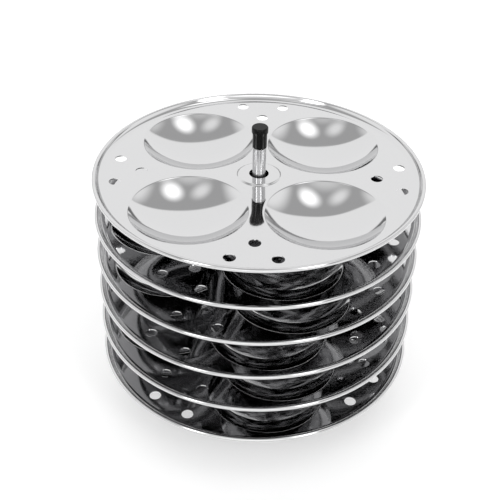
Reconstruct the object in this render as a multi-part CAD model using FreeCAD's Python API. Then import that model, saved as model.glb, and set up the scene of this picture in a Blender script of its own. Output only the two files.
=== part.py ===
import FreeCAD, Part
import math
import os

# Idli stand: pressed steel plates with bowls, stacked on tubes over one rod with a knob on top.
# Millimetres, +Z up. The rod stands on the Z axis and the foot on the floor at zero.

# Bowls and the flat sheet round them
sheet = 0.6
bowl_count = 4
bowl_radius = 36.0
bowl_depth = 15.0
bowl_lip = 2.0
bowl_gap = 6.5
bowl_land = 2.2
bowl_headroom = 9.7

# Rolled rim
rim_width = 6.3
bead_radius = 1.35
bead_rise = 2.0
curl_turn = 285.0

# Steam holes, three between each two bowls
vent_radius = 3.6
vent_edge = 7.4
vent_step = 15.3
vent_spread = 17.6

# Boss round the centre hole
boss_rise = 1.1
boss_margin = 3.8
boss_run = 2.3

# Stack, from the bottom plate up: how far each plate is turned about the rod
plate_turns = (-37.0, -30.0, -37.5, -23.5, -30.0, -1.5)

# Spacer tubes
spacer_wall = 1.0
spacer_setback = 1.1

# Rod
rod_radius = 4.0
rod_exposed = 18.4
rod_shoulder = 1.0
thread_tail = 1.0
pin_radius = 2.5
pin_length = 9.0

# Knob
knob_overhang = 0.3
knob_head_overhang = 0.9
knob_body_height = 8.7
knob_taper_height = 1.5
knob_head_height = 3.4
knob_foot_round = 0.5
knob_head_round = 0.8

# Foot with its washer and nut
foot_sheet = 1.0
foot_margin = 8.0
foot_run = 17.0
foot_flange = 7.0
washer_width = 5.0
washer_thickness = 1.2
nut_sides = 6
nut_wall = 2.0
nut_height = 5.0
nut_chamfer = 0.5
nut_floor_gap = 1.8

# Clearances, and how far a cutter runs past what it cuts
lift_clearance = 1.0
fit_clearance = 0.05
overrun = 1.0

# What follows from the sizes above
thread_radius = rod_radius - rod_shoulder
knob_radius = rod_radius + knob_overhang
knob_head_radius = rod_radius + knob_head_overhang
knob_height = knob_body_height + knob_taper_height + knob_head_height
hole_radius = knob_head_radius + lift_clearance
spacer_bore = hole_radius + spacer_setback
spacer_radius = spacer_bore + spacer_wall
spacer_length = bowl_depth + bowl_headroom
boss_top_radius = spacer_radius + boss_margin
boss_base_radius = boss_top_radius + boss_run
bowl_circle = (bowl_radius + bowl_gap / 2) / math.sin(math.pi / bowl_count)
flat_radius = bowl_circle + bowl_radius + bowl_land
plate_radius = flat_radius + rim_width
vent_circle = flat_radius - vent_edge
pitch = spacer_length + sheet
foot_rise = foot_sheet + washer_thickness + nut_height + thread_tail + nut_floor_gap
foot_seat_radius = spacer_radius + foot_margin
rod_top = foot_rise + len(plate_turns) * pitch + rod_exposed

full_turn = 360.0
origin = FreeCAD.Vector()
up = FreeCAD.Vector(0, 0, 1)


def at(radius, height):
    """A point of a section, which lies in the XZ plane."""
    return FreeCAD.Vector(radius, 0, height)


def pointing(degrees):
    """The unit vector at an angle above the horizontal, in the same plane."""
    angle = math.radians(degrees)
    return at(math.cos(angle), math.sin(angle))


def strip(start, moves, thickness):
    """The section of a bent sheet. Its upper side begins at start, heading outward, and follows the moves:
    (length, 0) runs straight, and (radius, degrees) bends, upward where the degrees are positive."""
    upper = []
    lower = []
    here = start
    heading = 0.0
    for size, bend in moves:
        sides = [pointing(heading + bend * share + full_turn / 4) for share in (0, 0.5, 1)]
        if bend == 0:
            stops = [here, here + pointing(heading) * size]
            edge = Part.LineSegment
        else:
            centre = here + sides[0] * math.copysign(size, bend)
            stops = [centre - side * math.copysign(size, bend) for side in sides]
            edge = Part.Arc
        upper.append(edge(*stops).toShape())
        below = [stop - side * thickness for stop, side in zip(stops, sides)]
        lower.append(edge(*below).toShape())
        here = stops[-1]
        heading += bend
    far_end = Part.LineSegment(here, below[-1]).toShape()
    near_end = Part.LineSegment(start - up * thickness, start).toShape()
    return Part.Face(Part.Wire(upper + [far_end] + lower[::-1] + [near_end]))


def s_bend(run, rise):
    """Two equal bends, one up and one down, that carry a sheet over a run and a rise."""
    angle = 2 * math.atan2(rise, run)
    radius = run / (2 * math.sin(abs(angle)))
    return [(radius, math.degrees(angle)), (radius, -math.degrees(angle))]


def turned(face):
    """The solid that a section sweeps about the Z axis."""
    return face.revolve(origin, up, full_turn)


def outline(*edges):
    return Part.Face(Part.Wire([edge.toShape() for edge in edges]))


def line(start, end):
    return Part.LineSegment(start, end)


def round_edge(start, centre, end):
    """A quarter round from start to end about its centre."""
    middle = centre + (start - centre + end - centre).normalize() * start.distanceToPoint(centre)
    return Part.Arc(start, middle, end)


def cylinder(radius, bottom, top):
    return Part.makeCylinder(radius, top - bottom, at(0, bottom), up)


def tube(bore, radius, bottom, top):
    return cylinder(radius, bottom, top).cut(cylinder(bore, bottom - overrun, top + overrun))


def around(shape, radius, degrees):
    """A copy moved out from the axis and swung round it."""
    placed = shape.translated(at(radius, 0))
    return placed.rotate(origin, up, degrees)


def plate_disc():
    """The round sheet with its boss and rolled rim, before the bowls and holes. Its flat lies at zero."""
    bend = 2 * math.atan2(bead_rise + bead_radius, rim_width - bead_radius)
    rim_bend_radius = (rim_width - bead_radius) / math.sin(bend) - bead_radius
    moves = [(boss_top_radius - hole_radius, 0)]
    moves += s_bend(boss_run, -boss_rise)
    moves += [(flat_radius - boss_base_radius, 0)]
    moves += [(rim_bend_radius, math.degrees(bend)), (bead_radius, -curl_turn)]
    return turned(strip(at(hole_radius, boss_rise), moves, sheet))


def bowl():
    """One bowl: part of a ball, with a rounded lip where it meets the flat."""
    reach = (bowl_radius ** 2 + bowl_depth ** 2) / (2 * bowl_depth)
    bend = math.degrees(math.asin(bowl_radius / reach))
    moves = [(reach - bowl_lip, bend), (bowl_lip, -bend)]
    return turned(strip(at(0, -bowl_depth), moves, sheet))


def plate():
    """A whole plate, with its steam holes towards +X and every quarter turn from there."""
    bowl_hole = cylinder(bowl_radius, -sheet - overrun, overrun)
    vent = cylinder(vent_radius, -sheet - overrun, overrun)
    bowls = []
    holes = []
    for number in range(bowl_count):
        towards = full_turn * number / bowl_count
        between = towards + full_turn / bowl_count / 2
        bowls.append(around(bowl(), bowl_circle, between))
        holes.append(around(bowl_hole, bowl_circle, between))
        holes.append(around(vent, vent_circle - vent_step, towards))
        for side in (-1, 1):
            holes.append(around(vent, vent_circle, towards + side * vent_spread / 2))
    pressed = plate_disc().cut(holes)
    return pressed.multiFuse(bowls).removeSplitter().Solids[0]


def rod():
    """The bar, stepped down to a threaded end below and to a pin in the knob above."""
    thread_end = foot_rise - foot_sheet - washer_thickness - nut_height - thread_tail
    bar = cylinder(rod_radius, foot_rise, rod_top)
    thread = cylinder(thread_radius, thread_end, foot_rise)
    pin = cylinder(pin_radius, rod_top, rod_top + pin_length)
    return bar.multiFuse([thread, pin])


def knob():
    """The cap on the rod's pin: a sleeve a little wider than the rod, and a head wider still."""
    bore = pin_radius + fit_clearance
    bore_top = rod_top + pin_length + fit_clearance
    taper_bottom = rod_top + knob_body_height
    head_bottom = taper_bottom + knob_taper_height
    top = rod_top + knob_height
    foot_centre = at(knob_radius - knob_foot_round, rod_top + knob_foot_round)
    head_centre = at(knob_head_radius - knob_head_round, top - knob_head_round)
    foot_start = at(foot_centre.x, rod_top)
    foot_end = at(knob_radius, foot_centre.z)
    head_start = at(knob_head_radius, head_centre.z)
    head_end = at(head_centre.x, top)
    return turned(outline(
        line(at(bore, rod_top), foot_start),
        round_edge(foot_start, foot_centre, foot_end),
        line(foot_end, at(knob_radius, taper_bottom)),
        line(at(knob_radius, taper_bottom), at(knob_head_radius, head_bottom)),
        line(at(knob_head_radius, head_bottom), head_start),
        round_edge(head_start, head_centre, head_end),
        line(head_end, at(0, top)),
        line(at(0, top), at(0, bore_top)),
        line(at(0, bore_top), at(bore, bore_top)),
        line(at(bore, bore_top), at(bore, rod_top)),
    ))


def foot():
    """A dished disc: a raised seat for the rod and the lowest tube, and a flat ring on the floor."""
    bore = thread_radius + fit_clearance
    moves = [(foot_seat_radius - bore, 0)]
    moves += s_bend(foot_run, foot_sheet - foot_rise)
    moves += [(foot_flange, 0)]
    return turned(strip(at(bore, foot_rise), moves, foot_sheet))


def foot_washer():
    bore = thread_radius + fit_clearance
    top = foot_rise - foot_sheet
    return tube(bore, thread_radius + washer_width, top - washer_thickness, top)


def foot_nut():
    """A hexagon nut with its corners turned off at both ends."""
    top = foot_rise - foot_sheet - washer_thickness
    bottom = top - nut_height
    corner = (thread_radius + nut_wall) / math.cos(math.pi / nut_sides)
    steps = [FreeCAD.Rotation(up, full_turn * number / nut_sides) for number in range(nut_sides + 1)]
    corners = [step.multVec(at(corner, bottom)) for step in steps]
    prism = Part.Face(Part.makePolygon(corners)).extrude(up * nut_height)
    blank = turned(outline(
        line(at(0, bottom), at(corner - nut_chamfer, bottom)),
        line(at(corner - nut_chamfer, bottom), at(corner, bottom + nut_chamfer)),
        line(at(corner, bottom + nut_chamfer), at(corner, top - nut_chamfer)),
        line(at(corner, top - nut_chamfer), at(corner - nut_chamfer, top)),
        line(at(corner - nut_chamfer, top), at(0, top)),
        line(at(0, top), at(0, bottom)),
    ))
    bore = cylinder(thread_radius + fit_clearance, bottom - overrun, top + overrun)
    return prism.common(blank).cut(bore)


def stack():
    """The tubes and plates in turn, from the foot up, each plate's boss on the end of its tube."""
    pieces = {}
    one_plate = plate()
    for number, turn in enumerate(plate_turns):
        bottom = foot_rise + number * pitch
        top = bottom + spacer_length
        flat = top + sheet - boss_rise
        pieces[f"spacer_{number + 1}"] = tube(spacer_bore, spacer_radius, bottom, top)
        pieces[f"plate_{number + 1}"] = around(one_plate, 0, turn).translated(at(0, flat))
    return pieces


os.makedirs("parts", exist_ok=True)
nodes = {"rod": rod(), "knob": knob(), "foot": foot(), "foot_washer": foot_washer(), "foot_nut": foot_nut()}
nodes.update(stack())
for name, shape in nodes.items():
    shape.exportStep(f"parts/{name}.step")
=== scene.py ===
import math
from collections import Counter

import bpy
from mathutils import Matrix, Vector


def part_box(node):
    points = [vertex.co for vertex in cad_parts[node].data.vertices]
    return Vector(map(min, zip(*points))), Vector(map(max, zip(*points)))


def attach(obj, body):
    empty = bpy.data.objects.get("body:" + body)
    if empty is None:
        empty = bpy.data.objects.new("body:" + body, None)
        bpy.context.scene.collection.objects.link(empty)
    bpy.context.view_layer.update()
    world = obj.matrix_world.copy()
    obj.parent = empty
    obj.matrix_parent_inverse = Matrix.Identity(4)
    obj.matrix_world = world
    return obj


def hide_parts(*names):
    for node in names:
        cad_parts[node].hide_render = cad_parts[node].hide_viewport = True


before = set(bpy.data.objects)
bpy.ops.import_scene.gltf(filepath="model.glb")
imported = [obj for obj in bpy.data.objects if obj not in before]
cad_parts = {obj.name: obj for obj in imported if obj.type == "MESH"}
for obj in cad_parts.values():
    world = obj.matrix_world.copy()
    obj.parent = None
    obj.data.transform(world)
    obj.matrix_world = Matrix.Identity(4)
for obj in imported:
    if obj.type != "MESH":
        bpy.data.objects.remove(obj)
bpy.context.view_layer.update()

# Foot: a dished disc of satin steel at the rod's lower end, pressed from one round of sheet.
# Its raised middle is the seat for the rod and the lowest tube, and it stands on its flat outer ring.
foot_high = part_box("foot")[1]
foot_sheet = 0.001
foot_bore = 0.00305
foot_seat_radius = 0.016
foot_flange = 0.007
foot_run = foot_high.x - foot_flange - foot_seat_radius
foot_edge = 0.0002
foot_sides = 128
foot_bend_step = 5
foot_sharp_angle = 50
foot_smooth_angle = 35
foot_colour = (0.62, 0.62, 0.625, 1)
foot_roughness = (0.16, 0.3)
foot_ring_depth = 0.000004


def follow(start, moves, step):
    """Radius and height along a bent sheet that first heads outward: (length, 0) runs straight, and
    (radius, degrees) bends, upward where the degrees are positive, with a point at about each step."""
    points = [start]
    heading = 0.0
    for size, bend in moves:
        radius, height = points[-1]
        if bend == 0:
            points.append((radius + size * math.cos(heading), height + size * math.sin(heading)))
            continue
        side = math.copysign(size, bend)
        middle = (radius - side * math.sin(heading), height + side * math.cos(heading))
        count = math.ceil(abs(bend) / step)
        for number in range(1, count + 1):
            angle = heading + math.radians(bend) * number / count
            points.append((middle[0] + side * math.sin(angle), middle[1] - side * math.cos(angle)))
        heading += math.radians(bend)
    return points


def s_bend(run, rise):
    """Two equal bends that carry a sheet over a run and a rise."""
    angle = 2 * math.atan2(rise, run)
    radius = run / (2 * math.sin(abs(angle)))
    return [(radius, math.degrees(angle)), (radius, -math.degrees(angle))]


def first_ring(name, point, sides):
    """A new piece that is one ring of edges, open for modelling."""
    bpy.ops.object.select_all(action="DESELECT")
    bpy.ops.mesh.primitive_circle_add(vertices=sides, radius=point[0], location=(0, 0, point[1]))
    piece = bpy.context.object
    piece.name = name
    piece.data.name = name
    bpy.ops.object.transform_apply()
    bpy.ops.object.mode_set(mode="EDIT")
    bpy.ops.mesh.select_mode(type="EDGE")
    return piece


def pull_rings(points, x=0.0, y=0.0):
    """Pulls the selected ring on through the points, each a radius and a height, round an upright axis."""
    for (radius, height), (next_radius, next_height) in zip(points, points[1:]):
        rise = next_height - height
        bpy.ops.mesh.extrude_region_move(TRANSFORM_OT_translate={"value": (0, 0, rise)})
        scale = next_radius / radius
        bpy.ops.transform.resize(value=(scale, scale, 1), center_override=(x, y, next_height))


def face_outward():
    """Points all faces of the piece outward and ends its modelling."""
    bpy.ops.mesh.select_all(action="SELECT")
    bpy.ops.mesh.normals_make_consistent(inside=False)
    bpy.ops.object.mode_set(mode="OBJECT")


def add_thickness(piece, sheet, other_side=0):
    """Gives a single sheet its thickness, on the side away from its normals.
    That side has the material that comes so many places later in the piece's list."""
    wall = piece.modifiers.new("thickness", "SOLIDIFY")
    wall.thickness = sheet
    wall.material_offset = other_side
    wall.offset = -1
    wall.use_even_offset = True
    bpy.ops.object.modifier_apply(modifier=wall.name)


def break_edges(piece, width, sharp_degrees):
    """Takes the sharpness off the edges that turn by more than an angle."""
    broken = piece.modifiers.new("broken edges", "BEVEL")
    broken.width = width
    broken.segments = 2
    broken.limit_method = "ANGLE"
    broken.angle_limit = math.radians(sharp_degrees)
    bpy.ops.object.modifier_apply(modifier=broken.name)


def shade_evenly(piece, smooth_degrees):
    """Shades the edges that turn by less than an angle smooth, with flat faces kept flat."""
    bpy.ops.object.shade_smooth_by_angle(angle=math.radians(smooth_degrees))
    even = piece.modifiers.new("even normals", "WEIGHTED_NORMAL")
    even.keep_sharp = True
    bpy.ops.object.modifier_apply(modifier=even.name)


def new_finish(name, colour, metallic, roughness):
    """A material with its shader, and the texture place that its patterns read."""
    material = bpy.data.materials.new(name)
    material.use_nodes = True
    nodes = material.node_tree.nodes
    shader = nodes["Principled BSDF"]
    shader.inputs["Base Color"].default_value = colour
    shader.inputs["Metallic"].default_value = metallic
    shader.inputs["Roughness"].default_value = roughness
    place = nodes.new("ShaderNodeTexCoord")
    return material, shader, place


def add_noise(material, place, scale, detail, stretch=None):
    """A noise pattern over the piece, in repeats per metre, times the stretch along each axis."""
    nodes = material.node_tree.nodes
    links = material.node_tree.links
    noise = nodes.new("ShaderNodeTexNoise")
    noise.inputs["Scale"].default_value = scale
    noise.inputs["Detail"].default_value = detail
    source = place.outputs["Object"]
    if stretch:
        mapping = nodes.new("ShaderNodeMapping")
        mapping.inputs["Scale"].default_value = stretch
        links.new(source, mapping.inputs["Vector"])
        source = mapping.outputs["Vector"]
    links.new(source, noise.inputs["Vector"])
    return noise.outputs["Fac"]


def vary_roughness(material, shader, pattern, low, high, dark=0.3, light=0.7):
    """Spreads a pattern, which lies mostly between its dark and light values, from low to high roughness."""
    ranged = material.node_tree.nodes.new("ShaderNodeMapRange")
    ranged.inputs["From Min"].default_value = dark
    ranged.inputs["From Max"].default_value = light
    ranged.inputs["To Min"].default_value = low
    ranged.inputs["To Max"].default_value = high
    material.node_tree.links.new(pattern, ranged.inputs["Value"])
    material.node_tree.links.new(ranged.outputs["Result"], shader.inputs["Roughness"])


def raise_surface(material, shader, height, depth, under=None):
    """Small hills and hollows of a given depth in metres, on top of others where there are some."""
    bump = material.node_tree.nodes.new("ShaderNodeBump")
    bump.inputs["Strength"].default_value = 1.0
    bump.inputs["Distance"].default_value = depth
    material.node_tree.links.new(height, bump.inputs["Height"])
    if under:
        material.node_tree.links.new(under, bump.inputs["Normal"])
    material.node_tree.links.new(bump.outputs["Normal"], shader.inputs["Normal"])
    return bump.outputs["Normal"]


def add_rings(material, place, period, waver):
    """Fine circles round the rod's axis, as a lathe or a buffing wheel leaves them."""
    period_at_scale_one = math.pi / 10
    rings = material.node_tree.nodes.new("ShaderNodeTexWave")
    rings.wave_type = "RINGS"
    rings.rings_direction = "Z"
    rings.inputs["Scale"].default_value = period_at_scale_one / period
    rings.inputs["Distortion"].default_value = waver
    rings.inputs["Detail"].default_value = 3
    material.node_tree.links.new(place.outputs["Object"], rings.inputs["Vector"])
    return rings.outputs["Fac"]


def spun_steel(name, colour, roughness, ring_depth):
    """Satin steel with faint turning marks and uneven handling marks."""
    material, shader, place = new_finish(name, colour, metallic=1, roughness=roughness[0])
    marks = add_noise(material, place, scale=60, detail=6)
    vary_roughness(material, shader, marks, *roughness)
    rings = add_rings(material, place, period=0.0004, waver=4)
    raise_surface(material, shader, rings, ring_depth)
    return material


foot_steel = spun_steel("foot_steel", foot_colour, foot_roughness, foot_ring_depth)
foot_path = [(foot_seat_radius - foot_bore, 0)]
foot_path += s_bend(foot_run, foot_sheet - foot_high.z)
foot_path += [(foot_flange, 0)]
foot_points = follow((foot_bore, foot_high.z), foot_path, foot_bend_step)
foot = first_ring("dished_foot", foot_points[0], foot_sides)
pull_rings(foot_points)
face_outward()
add_thickness(foot, foot_sheet)
break_edges(foot, foot_edge, foot_sharp_angle)
shade_evenly(foot, foot_smooth_angle)
foot.data.materials.append(foot_steel)
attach(foot, "stand")
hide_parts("foot")

# Washer and nut: plain plated fasteners that clamp the foot to the rod's threaded end.
# They are stock parts, so their solids stay as they are and only get a finish.
fastener_colour = (0.5, 0.5, 0.51, 1)
fastener_roughness = (0.22, 0.4)
fastener_ring_depth = 0.000003
fastener_steel = spun_steel("fastener_steel", fastener_colour, fastener_roughness, fastener_ring_depth)
for fastener in ("foot_washer", "foot_nut"):
    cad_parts[fastener].material_slots[0].material = fastener_steel

# Rod: a round bar of bright steel, turned down to a threaded end below and to a pin inside the knob.
# It stands on the foot's seat and is drawn tight by the nut.
rod_low, rod_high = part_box("rod")
knob_low, knob_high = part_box("knob")
rod_radius = rod_high.x
rod_chamfer = 0.0003
rod_sides = 96
rod_smooth_angle = 30
rod_colour = (0.58, 0.58, 0.585, 1)
rod_roughness = (0.25, 0.31)
thread_top = foot_high.z - foot_sheet
thread_radius = 0.003
thread_pitch = 0.001
thread_depth = 0.0006
thread_turns = int((thread_top - rod_low.z) / thread_pitch)
pin_radius = 0.0025


def close_ends():
    """Caps the open rings of the piece, points all its faces outward and ends its modelling."""
    bpy.ops.mesh.select_all(action="SELECT")
    bpy.ops.mesh.fill_holes(sides=0)
    face_outward()


def bright_bar(name, colour, roughness):
    """Ground bar: fine lines round it draw each highlight out along it. It has a few long handling marks."""
    material, shader, place = new_finish(name, colour, metallic=1, roughness=roughness[0])
    shader.inputs["Anisotropic"].default_value = 0.8
    shader.inputs["Anisotropic Rotation"].default_value = 0.25
    girth = material.node_tree.nodes.new("ShaderNodeTangent")
    girth.direction_type = "RADIAL"
    girth.axis = "Z"
    material.node_tree.links.new(girth.outputs["Tangent"], shader.inputs["Tangent"])
    marks = add_noise(material, place, scale=220, detail=5, stretch=(1, 1, 0.12))
    vary_roughness(material, shader, marks, *roughness)
    lines = add_noise(material, place, scale=90, detail=4, stretch=(1, 1, 60))
    raise_surface(material, shader, lines, depth=0.0000004)
    return material


rod_steel = bright_bar("rod_steel", rod_colour, rod_roughness)
rod_points = [(thread_radius - thread_depth, rod_low.z)]
for turn in range(thread_turns):
    crest = rod_low.z + thread_pitch * (turn + 0.5)
    rod_points.append((thread_radius, crest))
    rod_points.append((thread_radius - thread_depth, crest + thread_pitch / 2))
rod_points += [
    (thread_radius, thread_top),
    (thread_radius, foot_high.z),
    (rod_radius - rod_chamfer, foot_high.z),
    (rod_radius, foot_high.z + rod_chamfer),
    (rod_radius, knob_low.z - rod_chamfer),
    (rod_radius - rod_chamfer, knob_low.z),
    (pin_radius, knob_low.z),
    (pin_radius, rod_high.z),
]
rod = first_ring("centre_rod", rod_points[0], rod_sides)
pull_rings(rod_points)
close_ends()
shade_evenly(rod, rod_smooth_angle)
rod.data.materials.append(rod_steel)
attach(rod, "stand")
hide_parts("rod")

# Spacer tubes: short lengths of thin steel tube, cut square and deburred, that slip over the rod.
# Each stands on the boss of the plate below, or on the foot, and carries the next plate with a hair of play.
tube_low, tube_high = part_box("spacer_1")
tube_count = 6
tube_play = 0.00002
tube_length = tube_high.z - tube_low.z - 2 * tube_play
tube_radius = tube_high.x
tube_wall = 0.001
tube_bore = tube_radius - tube_wall
tube_deburr = 0.0002
tube_weld_gap = tube_deburr / 10
tube_sides = 96
tube_smooth_angle = 30
tube_colour = (0.6, 0.6, 0.605, 1)
tube_roughness = (0.14, 0.28)


def drawn_tube(name, colour, roughness):
    """Welded tube as it is drawn, with lines along its length."""
    material, shader, place = new_finish(name, colour, metallic=1, roughness=roughness[0])
    lines = add_noise(material, place, scale=500, detail=4, stretch=(1, 1, 0.04))
    vary_roughness(material, shader, lines, *roughness)
    raise_surface(material, shader, lines, depth=0.000006)
    return material


def move_copy(pattern, name, turn, height):
    """A copy of a piece with a mesh of its own, turned about the rod and lifted to its place."""
    bpy.ops.object.select_all(action="DESELECT")
    pattern.select_set(True)
    bpy.context.view_layer.objects.active = pattern
    bpy.ops.object.duplicate()
    copy = bpy.context.object
    copy.name = name
    copy.data.name = name
    copy.rotation_euler.z = math.radians(turn)
    copy.location.z = height
    bpy.ops.object.transform_apply()
    return copy


tube_steel = drawn_tube("tube_steel", tube_colour, tube_roughness)
tube_points = [
    (tube_bore, tube_deburr),
    (tube_bore + tube_deburr, 0),
    (tube_radius - tube_deburr, 0),
    (tube_radius, tube_deburr),
    (tube_radius, tube_length - tube_deburr),
    (tube_radius - tube_deburr, tube_length),
    (tube_bore + tube_deburr, tube_length),
    (tube_bore, tube_length - tube_deburr),
    (tube_bore, tube_deburr),
]
tube = first_ring("tube_pattern", tube_points[0], tube_sides)
pull_rings(tube_points)
bpy.ops.mesh.select_all(action="SELECT")
bpy.ops.mesh.remove_doubles(threshold=tube_weld_gap)
close_ends()
shade_evenly(tube, tube_smooth_angle)
tube.data.materials.append(tube_steel)
for number in range(1, tube_count + 1):
    tube_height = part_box(f"spacer_{number}")[0].z + tube_play
    spacer = move_copy(tube, f"spacer_tube_{number}", 0, tube_height)
    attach(spacer, f"tube_{number}")
    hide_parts(f"spacer_{number}")
bpy.data.objects.remove(tube)

# Plates: rounds of thin mirror-polished steel, all from one tool. Each is pressed with four bowls and a boss
# round its middle hole, pierced with steam holes and rolled over at the rim. They lie loose on the tubes,
# and each is turned a little differently about the rod.
plate_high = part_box("plate_1")[1]
plate_sheet = 0.0006
plate_turns = (-37.0, -30.0, -37.5, -23.5, -30.0, -1.5)
plate_sides = 256
plate_bend_step = 9
plate_smooth_angle = 35
plate_colour = (0.65, 0.65, 0.655, 1)
plate_roughness = (0.04, 0.08)
# The underside's colour is painted shade: far darker than the steel itself, so that the gaps between the
# plates look shaded. Its higher roughness is a duller finish on the sheet's lower face.
underside_painted_shade_colour = (0.23, 0.23, 0.235, 1)
underside_roughness = (0.1, 0.16)
bowl_count = 4
bowl_radius = 0.036
bowl_depth = 0.015
bowl_lip = 0.002
bowl_gap = 0.0065
bowl_land = 0.0022
bowl_sides = 128
bowl_bend_step = 2
lip_bend_step = 6
bowl_circle = (bowl_radius + bowl_gap / 2) / math.sin(math.pi / bowl_count)
flat_radius = bowl_circle + bowl_radius + bowl_land
flat_margin = 0.0003
flat_play = plate_sheet / 1000
bead_radius = 0.00135
bead_rise = 0.002
curl_turn = 285
rim_width = plate_high.x - flat_radius
vent_radius = 0.0036
vent_edge = 0.0074
vent_circle = flat_radius - vent_edge
vent_step = 0.0153
vent_spread = 17.6
vent_sides = 40
hole_radius = 0.0059
boss_rise = 0.0011
boss_top_radius = 0.0118
boss_run = 0.0023
boss_sides = 96
full_turn = 360


def pressed_steel(name, colour, roughness):
    """Polished sheet, wavy from the press, with faint smears and hairlines."""
    material, shader, place = new_finish(name, colour, metallic=1, roughness=roughness[0])
    smears = add_noise(material, place, scale=30, detail=6)
    vary_roughness(material, shader, smears, *roughness)
    waves = add_noise(material, place, scale=15, detail=1)
    wavy = raise_surface(material, shader, waves, depth=0.002)
    hairlines = add_noise(material, place, scale=300, detail=3, stretch=(1, 0.06, 1))
    raise_surface(material, shader, hairlines, depth=0.0000015, under=wavy)
    return material


def around(radius, degrees):
    """A place at a distance from the rod, in a direction."""
    angle = math.radians(degrees)
    return radius * math.cos(angle), radius * math.sin(angle)


def add_ring(radius, sides, place):
    """One more ring of edges in the flat of the piece that is being modelled."""
    bpy.ops.mesh.primitive_circle_add(vertices=sides, radius=radius, location=(*place, 0))


def press_bowl(place):
    """A bowl: part of a ball, with a rounded lip, drawn down from a ring in the flat to its lowest point."""
    reach = (bowl_radius ** 2 + bowl_depth ** 2) / (2 * bowl_depth)
    bend = math.degrees(math.asin(bowl_radius / reach))
    ball = follow((0, -bowl_depth), [(reach - bowl_lip, bend)], bowl_bend_step)
    lip = follow((0, 0), [(bowl_lip, bend)], lip_bend_step)
    lip_points = [(bowl_radius - radius, -height) for radius, height in lip]
    points = [(bowl_radius + flat_margin, 0)] + lip_points + ball[-2::-1]
    add_ring(points[0][0], bowl_sides, place)
    pull_rings(points[:-1], *place)
    last_drop = points[-1][1] - points[-2][1]
    bpy.ops.mesh.extrude_region_move(TRANSFORM_OT_translate={"value": (0, 0, last_drop)})
    bpy.ops.mesh.merge(type="CENTER")


def roll_rim():
    """The sheet bends up from the flat's edge and curls over outward into a bead."""
    bend = 2 * math.atan2(bead_rise + bead_radius, rim_width - bead_radius)
    bend_radius = (rim_width - bead_radius) / math.sin(bend) - bead_radius
    path = [(flat_margin, 0), (bend_radius, math.degrees(bend)), (bead_radius, -curl_turn)]
    return follow((flat_radius - flat_margin, 0), path, plate_bend_step)


def raise_boss():
    """The sheet steps up round the middle hole. The points run inward from the flat."""
    path = [(boss_top_radius - hole_radius, 0)] + s_bend(boss_run, -boss_rise) + [(flat_margin, 0)]
    return follow((hole_radius, boss_rise), path, plate_bend_step)[::-1]


def fill_flat(plate):
    """Fills the flat in between the open edges that lie level with it."""
    bpy.ops.mesh.select_all(action="DESELECT")
    bpy.ops.object.mode_set(mode="OBJECT")
    level = {vertex.index for vertex in plate.data.vertices if abs(vertex.co.z) < flat_play}
    faces_along = Counter(key for face in plate.data.polygons for key in face.edge_keys)
    for edge in plate.data.edges:
        edge.select = level.issuperset(edge.vertices) and faces_along[edge.key] < 2
    bpy.ops.object.mode_set(mode="EDIT")
    bpy.ops.mesh.fill(use_beauty=True)


plate_steel = pressed_steel("plate_steel", plate_colour, plate_roughness)
# The underside takes the same pressed sheet with painted shade in its colour, which darkens the gaps between
# the plates.
plate_underside_painted_shade = pressed_steel("plate_underside_painted_shade", underside_painted_shade_colour, underside_roughness)
rim_points = roll_rim()
plate = first_ring("plate_pattern", rim_points[0], plate_sides)
pull_rings(rim_points)
boss_points = raise_boss()
add_ring(boss_points[0][0], boss_sides, (0, 0))
pull_rings(boss_points)
for number in range(bowl_count):
    towards = full_turn * number / bowl_count
    press_bowl(around(bowl_circle, towards + full_turn / bowl_count / 2))
    add_ring(vent_radius, vent_sides, around(vent_circle - vent_step, towards))
    for side in (-1, 1):
        add_ring(vent_radius, vent_sides, around(vent_circle, towards + side * vent_spread / 2))
fill_flat(plate)
face_outward()
plate.data.materials.append(plate_steel)
plate.data.materials.append(plate_underside_painted_shade)
add_thickness(plate, plate_sheet, other_side=1)
shade_evenly(plate, plate_smooth_angle)
for number, turn in enumerate(plate_turns, 1):
    flat_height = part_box(f"plate_{number}")[0].z + bowl_depth + plate_sheet
    bowl_plate = move_copy(plate, f"bowl_plate_{number}", turn, flat_height)
    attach(bowl_plate, f"plate_{number}")
    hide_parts(f"plate_{number}")
bpy.data.objects.remove(plate)

# Knob: a moulded cap of black plastic, pushed onto the pin at the rod's top.
# Its sleeve is hardly wider than the rod, and its head is wider, for the fingers.
knob_clearance = 0.00005
knob_bore = pin_radius + knob_clearance
knob_bore_top = rod_high.z + knob_clearance
knob_radius = 0.0043
knob_sleeve_height = 0.0087
knob_taper_height = 0.0015
knob_taper_bottom = knob_low.z + knob_sleeve_height
knob_head_bottom = knob_taper_bottom + knob_taper_height
knob_head_radius = knob_high.x
knob_foot_round = 0.0005
knob_head_round = 0.0008
knob_sides = 96
knob_smooth_angle = 40
knob_colour = (0.004, 0.004, 0.0041, 1)
knob_roughness = (0.06, 0.12)


def quarter_round(middle, size, start, steps):
    """Points of a quarter circle, counter-clockwise from a direction in degrees."""
    angles = [math.radians(start + 90 * number / steps) for number in range(steps + 1)]
    return [(middle[0] + size * math.cos(angle), middle[1] + size * math.sin(angle)) for angle in angles]


def moulded_plastic(name, colour, roughness):
    """Dense black plastic, smooth from the mould, with an uneven sheen and a fine grain."""
    material, shader, place = new_finish(name, colour, metallic=0, roughness=roughness[0])
    shader.inputs["Specular IOR Level"].default_value = 0.16
    sheen = add_noise(material, place, scale=400, detail=5)
    vary_roughness(material, shader, sheen, *roughness)
    grain = add_noise(material, place, scale=2600, detail=2)
    raise_surface(material, shader, grain, depth=0.000012)
    return material


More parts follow.
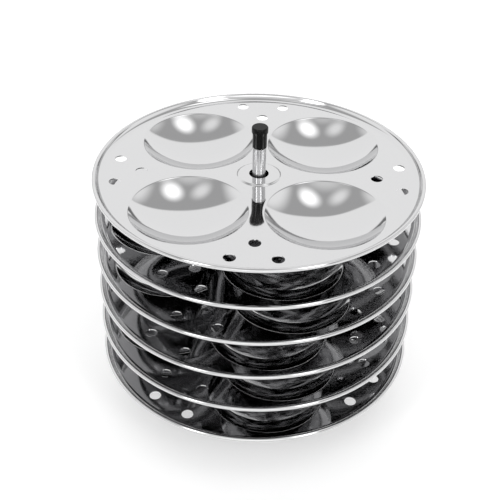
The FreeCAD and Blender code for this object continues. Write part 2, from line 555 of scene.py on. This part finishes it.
knob_plastic = moulded_plastic("knob_plastic", knob_colour, knob_roughness)
foot_middle = (knob_radius - knob_foot_round, knob_low.z + knob_foot_round)
head_middle = (knob_head_radius - knob_head_round, knob_high.z - knob_head_round)
knob_points = [(knob_bore, knob_bore_top), (knob_bore, knob_low.z)]
knob_points += quarter_round(foot_middle, knob_foot_round, start=-90, steps=5)
knob_points += [(knob_radius, knob_taper_bottom), (knob_head_radius, knob_head_bottom)]
knob_points += quarter_round(head_middle, knob_head_round, start=0, steps=6)
knob = first_ring("rod_knob", knob_points[0], knob_sides)
pull_rings(knob_points)
close_ends()
shade_evenly(knob, knob_smooth_angle)
knob.data.materials.append(knob_plastic)
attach(knob, "stand")
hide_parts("knob")

# Studio: a white floor in a grey room with a round backdrop and pale walls, so that the mirrors have
# something to show. A dark rail runs round the room above a white skirting. Two soft lamps hang overhead,
# and three stand in front, one of them long and low. Angles are in degrees, as seen from the stand.
floor_size = 40
floor_colour = (0.86, 0.86, 0.86, 1)
floor_lift = 0.3
white = (1, 1, 1, 1)
room_brightness = 0.5
front_wall = dict(lean_back=-62, turn=0, outside=46, inside=28, brightness=0.9)
left_wall = dict(lean_back=90, turn=90, outside=50, inside=34, brightness=1.12)
right_wall = dict(lean_back=90, turn=-90, outside=50, inside=34, brightness=1.12)
backdrop = dict(lean_back=72.5, turn=7.5, outside=56, inside=53, brightness=1.12)
rail = dict(outside=11, inside=8, brightness=0.22)
skirting = dict(outside=4.5, inside=3.5, brightness=1.0)
right_lamp = dict(lean_forward=22, turn=68, half_width=11, half_length=13, brightness=2.0)
left_lamp = dict(lean_forward=20, turn=-57, half_width=9, half_length=13, brightness=1.05)
front_lamp = dict(lean_forward=69, turn=0, half_width=50, half_length=9, brightness=2.4)
front_right_lamp = dict(lean_forward=55, turn=38, half_width=6, half_length=15, brightness=7)
front_left_lamp = dict(lean_forward=55, turn=-42, half_width=6, half_length=15, brightness=7)
lamp_fade = dict(outside=1.6, inside=0.2)
lamp_thickness = 0.1


def white_boards():
    """Matt boards that are lifted to white for the eye and for reflections, with the shadow left on them."""
    material = bpy.data.materials.new("white_boards")
    material.use_nodes = True
    nodes = material.node_tree.nodes
    links = material.node_tree.links
    shader = nodes["Principled BSDF"]
    shader.inputs["Base Color"].default_value = floor_colour
    shader.inputs["Roughness"].default_value = 1.0
    shader.inputs["Specular IOR Level"].default_value = 0.0
    path = nodes.new("ShaderNodeLightPath")
    seen = path.outputs["Is Camera Ray"]
    for kind in ("Is Glossy Ray", "Is Transmission Ray"):
        either = nodes.new("ShaderNodeMath")
        either.operation = "MAXIMUM"
        links.new(seen, either.inputs[0])
        links.new(path.outputs[kind], either.inputs[1])
        seen = either.outputs["Value"]
    lift = nodes.new("ShaderNodeMath")
    lift.operation = "MULTIPLY"
    lift.inputs[1].default_value = floor_lift
    links.new(seen, lift.inputs[0])
    shader.inputs["Emission Color"].default_value = white
    links.new(lift.outputs["Value"], shader.inputs["Emission Strength"])
    return material


def lay_over(world, under, value, outside, inside, brightness):
    """Lays a light over what is under it: not at all where the value is past its outside,
    and fully where the value is past its inside."""
    nodes = world.node_tree.nodes
    links = world.node_tree.links
    share = nodes.new("ShaderNodeMapRange")
    share.interpolation_type = "SMOOTHSTEP"
    share.inputs["From Min"].default_value = outside
    share.inputs["From Max"].default_value = inside
    links.new(value, share.inputs["Value"])
    mix = nodes.new("ShaderNodeMix")
    mix.data_type = "FLOAT"
    mix.inputs["B"].default_value = brightness
    links.new(share.outputs["Result"], mix.inputs["Factor"])
    links.new(under, mix.inputs["A"])
    return mix.outputs["Result"]


def round_panel(world, under, direction, lean_back, turn, outside, inside, brightness):
    """A round light with its middle leaning back from overhead, turned about the rod.
    It fades in from its outside to its inside, as angles from its middle."""
    straight_back = 90
    facing = world.node_tree.nodes.new("ShaderNodeVectorMath")
    facing.operation = "DOT_PRODUCT"
    x, y = around(math.sin(math.radians(lean_back)), straight_back + turn)
    facing.inputs[1].default_value = (x, y, math.cos(math.radians(lean_back)))
    world.node_tree.links.new(direction, facing.inputs[0])
    edges = math.cos(math.radians(outside)), math.cos(math.radians(inside))
    return lay_over(world, under, facing.outputs["Value"], *edges, brightness)


def low_band(world, under, direction, outside, inside, brightness):
    """What stands round the room up to a height above the horizon: a panel round the point underfoot."""
    underfoot = 180
    horizon = 90
    edges = horizon + outside, horizon + inside
    return round_panel(world, under, direction, underfoot, 0, *edges, brightness)


def soft_lamp(world, under, direction, lean_forward, turn, half_width, half_length, brightness):
    """An oval lamp that fades out from its middle, leaning forward from overhead and turned about the rod.
    Its thickness keeps it from showing on the other side of the room as well."""
    nodes = world.node_tree.nodes
    links = world.node_tree.links
    aim = nodes.new("ShaderNodeVectorRotate")
    aim.rotation_type = "EULER_XYZ"
    aim.invert = True
    aim.inputs["Rotation"].default_value = (math.radians(lean_forward), 0, math.radians(turn))
    links.new(direction, aim.inputs["Vector"])
    offset = nodes.new("ShaderNodeVectorMath")
    offset.operation = "SUBTRACT"
    offset.inputs[1].default_value = (0, 0, 1)
    links.new(aim.outputs["Vector"], offset.inputs[0])
    sized = nodes.new("ShaderNodeVectorMath")
    sized.operation = "DIVIDE"
    sized.inputs[1].default_value = (math.radians(half_width), math.radians(half_length), lamp_thickness)
    links.new(offset.outputs["Vector"], sized.inputs[0])
    reach = nodes.new("ShaderNodeVectorMath")
    reach.operation = "LENGTH"
    links.new(sized.outputs["Vector"], reach.inputs[0])
    return lay_over(world, under, reach.outputs["Value"], **lamp_fade, brightness=brightness)


def studio_room():
    """The grey room, its pale walls and backdrop, its rail and skirting, and the lamps."""
    world = bpy.data.worlds.new("studio_room")
    world.use_nodes = True
    nodes = world.node_tree.nodes
    direction = nodes.new("ShaderNodeTexCoord").outputs["Generated"]
    room = nodes.new("ShaderNodeValue").outputs["Value"]
    room.default_value = room_brightness
    for panel in (front_wall, left_wall, right_wall, backdrop):
        room = round_panel(world, room, direction, **panel)
    for band in (rail, skirting):
        room = low_band(world, room, direction, **band)
    for lamp in (right_lamp, left_lamp, front_lamp, front_right_lamp, front_left_lamp):
        room = soft_lamp(world, room, direction, **lamp)
    world.node_tree.links.new(room, nodes["Background"].inputs["Strength"])
    nodes["Background"].inputs["Color"].default_value = white
    return world


bpy.ops.object.select_all(action="DESELECT")
bpy.ops.mesh.primitive_plane_add(size=floor_size)
floor = bpy.context.object
floor.name = "studio_floor"
floor.data.materials.append(white_boards())
bpy.context.scene.world = studio_room()

# Camera: a little above the stack and square to its front, far enough away for a long lens.
# It is turned slightly about its own axis, as the picture is.
camera_lens = 75.6
camera_sensor = 36
camera_target = Vector((-0.0044, 0, 0.1046))
camera_distance = 0.666
camera_elevation = math.radians(35.9)
camera_roll = math.radians(1.2)
camera_data = bpy.data.cameras.new("camera")
camera_data.lens = camera_lens
camera_data.sensor_width = camera_sensor
camera = bpy.data.objects.new("camera", camera_data)
bpy.context.collection.objects.link(camera)
away = Vector((0, -math.cos(camera_elevation), math.sin(camera_elevation)))
camera.location = camera_target + away * camera_distance
camera.rotation_euler = (math.pi / 2 - camera_elevation, 0, 0)
camera.rotation_euler.rotate_axis("Z", camera_roll)
bpy.context.scene.camera = camera
bpy.context.scene.view_settings.view_transform = "Standard"
